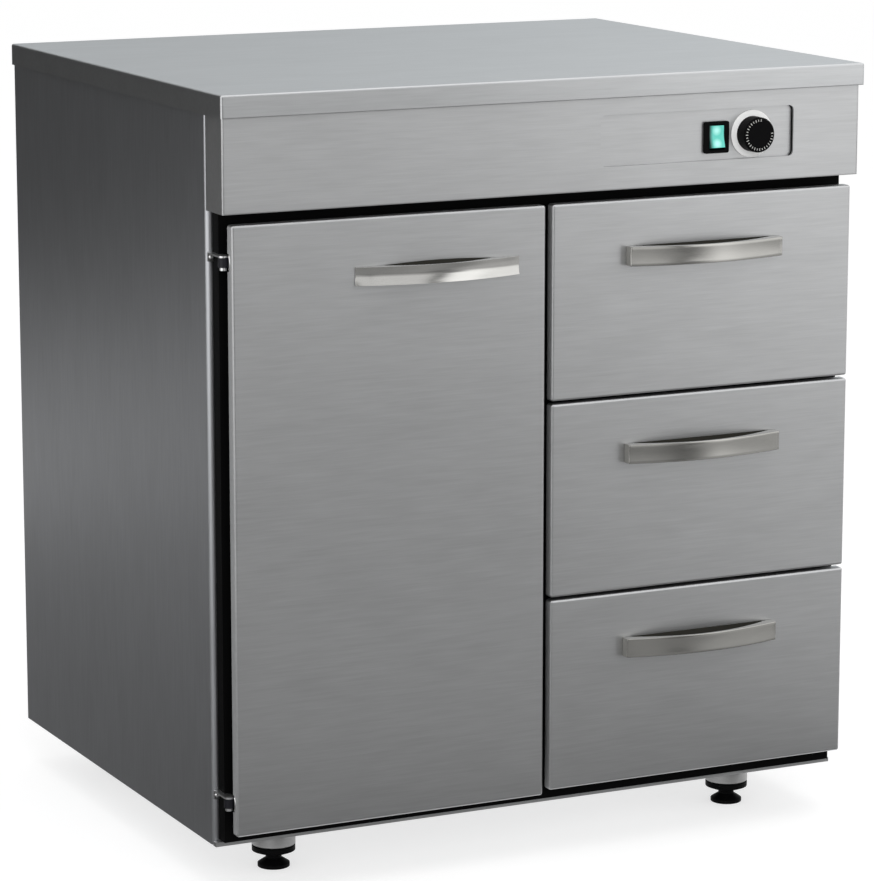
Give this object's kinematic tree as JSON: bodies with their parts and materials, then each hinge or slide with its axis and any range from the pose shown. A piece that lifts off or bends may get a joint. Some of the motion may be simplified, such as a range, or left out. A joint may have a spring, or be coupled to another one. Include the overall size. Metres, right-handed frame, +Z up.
{
  "type": "warming cabinet",
  "caption": "Free-standing stainless steel warming cabinet: a hinged door beside a stack of drawers under a worktop, with a thermostat dial and switch, on levelling feet.",
  "frame": {"origin": "on the floor, under the middle of the bounding box", "axes": "+Z up, -Y towards the door and drawer fronts, +X towards the drawers"},
  "size_m": [0.8, 0.671, 0.894],
  "materials": {
    "steel": "brushed",
    "inner_steel": "satin",
    "handle_steel": "satin",
    "bright_steel": "bright",
    "element_sheath": "matte",
    "black_plastic": "matte",
    "white_plastic": "satin",
    "green_lens": "gloss",
    "seal": "matte"
  },
  "bodies": {
    "cabinet": {"back_panel": "steel", "base_plate": "steel", "cable_gland": "black_plastic", "ceiling_panel": "inner_steel", "dial_plate": "white_plastic", "divider": "inner_steel", "fascia": "steel", "foot_socket_front_left": "bright_steel", "foot_socket_front_right": "bright_steel", "foot_socket_rear_left": "bright_steel", "foot_socket_rear_right": "bright_steel", "front_frame": "black_plastic", "heating_element_left": "element_sheath", "heating_element_right": "element_sheath", "hinge_bracket_lower": "bright_steel", "hinge_bracket_upper": "bright_steel", "hinge_pin_lower": "bright_steel", "hinge_pin_upper": "bright_steel", "runner_rack_left": "bright_steel", "runner_rack_right": "bright_steel", "shelf": "bright_steel", "shelf_rack_left": "inner_steel", "shelf_rack_right": "inner_steel", "side_panel_left": "steel", "side_panel_right": "steel", "switch_body": "black_plastic", "thermostat_body": "black_plastic", "worktop": "steel"},
    "door": {"door_gasket": "seal", "door_handle": "handle_steel", "door_liner": "inner_steel", "door_skin": "steel", "hinge_bush_lower": "black_plastic", "hinge_bush_upper": "black_plastic"},
    "drawer_1": {"drawer_1_box": "inner_steel", "drawer_1_front": "steel", "drawer_1_gasket": "seal", "drawer_1_handle": "handle_steel"},
    "drawer_2": {"drawer_2_box": "inner_steel", "drawer_2_front": "steel", "drawer_2_gasket": "seal", "drawer_2_handle": "handle_steel"},
    "drawer_3": {"drawer_3_box": "inner_steel", "drawer_3_front": "steel", "drawer_3_gasket": "seal", "drawer_3_handle": "handle_steel"},
    "foot_front_left": {"foot_front_left": "black_plastic"},
    "foot_front_right": {"foot_front_right": "black_plastic"},
    "foot_rear_left": {"foot_rear_left": "black_plastic"},
    "foot_rear_right": {"foot_rear_right": "black_plastic"},
    "runners_1": {"runner_1_left": "bright_steel", "runner_1_right": "bright_steel"},
    "runners_2": {"runner_2_left": "bright_steel", "runner_2_right": "bright_steel"},
    "runners_3": {"runner_3_left": "bright_steel", "runner_3_right": "bright_steel"},
    "rocker": {"switch_rocker": "green_lens"},
    "knob": {"thermostat_knob": "black_plastic"}
  },
  "joints": [
    {"name": "door_hinge", "type": "hinge", "parent": "cabinet", "child": "door", "pos_m": [-0.3905, -0.2935, 0.4136], "axis": [0, 0, -1], "range_deg": [0, 115]},
    {"name": "drawer_1_slide", "type": "slide", "parent": "cabinet", "child": "drawer_1", "axis": [0, -1, 0], "range_m": [0, 0.45]},
    {"name": "runners_1_slide", "type": "slide", "parent": "cabinet", "child": "runners_1", "axis": [0, -1, 0], "range_m": [0, 0.225]},
    {"name": "drawer_2_slide", "type": "slide", "parent": "cabinet", "child": "drawer_2", "axis": [0, -1, 0], "range_m": [0, 0.45]},
    {"name": "runners_2_slide", "type": "slide", "parent": "cabinet", "child": "runners_2", "axis": [0, -1, 0], "range_m": [0, 0.225]},
    {"name": "drawer_3_slide", "type": "slide", "parent": "cabinet", "child": "drawer_3", "axis": [0, -1, 0], "range_m": [0, 0.45]},
    {"name": "runners_3_slide", "type": "slide", "parent": "cabinet", "child": "runners_3", "axis": [0, -1, 0], "range_m": [0, 0.225]},
    {"name": "knob_turn", "type": "hinge", "parent": "cabinet", "child": "knob", "pos_m": [0.257, -0.3043, 0.8192], "axis": [0, 1, 0], "range_deg": [0, 270]},
    {"name": "rocker_tilt", "type": "hinge", "parent": "cabinet", "child": "rocker", "pos_m": [0.2097, -0.3023, 0.8175], "axis": [1, 0, 0], "range_deg": [0, 16]},
    {"name": "foot_front_left_screw", "type": "slide", "parent": "cabinet", "child": "foot_front_left", "axis": [0, 0, -1], "range_m": [0, 0.012]},
    {"name": "foot_front_right_screw", "type": "slide", "parent": "cabinet", "child": "foot_front_right", "axis": [0, 0, -1], "range_m": [0, 0.012]},
    {"name": "foot_rear_left_screw", "type": "slide", "parent": "cabinet", "child": "foot_rear_left", "axis": [0, 0, -1], "range_m": [0, 0.012]},
    {"name": "foot_rear_right_screw", "type": "slide", "parent": "cabinet", "child": "foot_rear_right", "axis": [0, 0, -1], "range_m": [0, 0.012]}
  ],
  "couplings": [
    {"joint": "runners_1_slide", "follows": "drawer_1_slide", "ratio": 0.5},
    {"joint": "runners_2_slide", "follows": "drawer_2_slide", "ratio": 0.5},
    {"joint": "runners_3_slide", "follows": "drawer_3_slide", "ratio": 0.5}
  ]
}
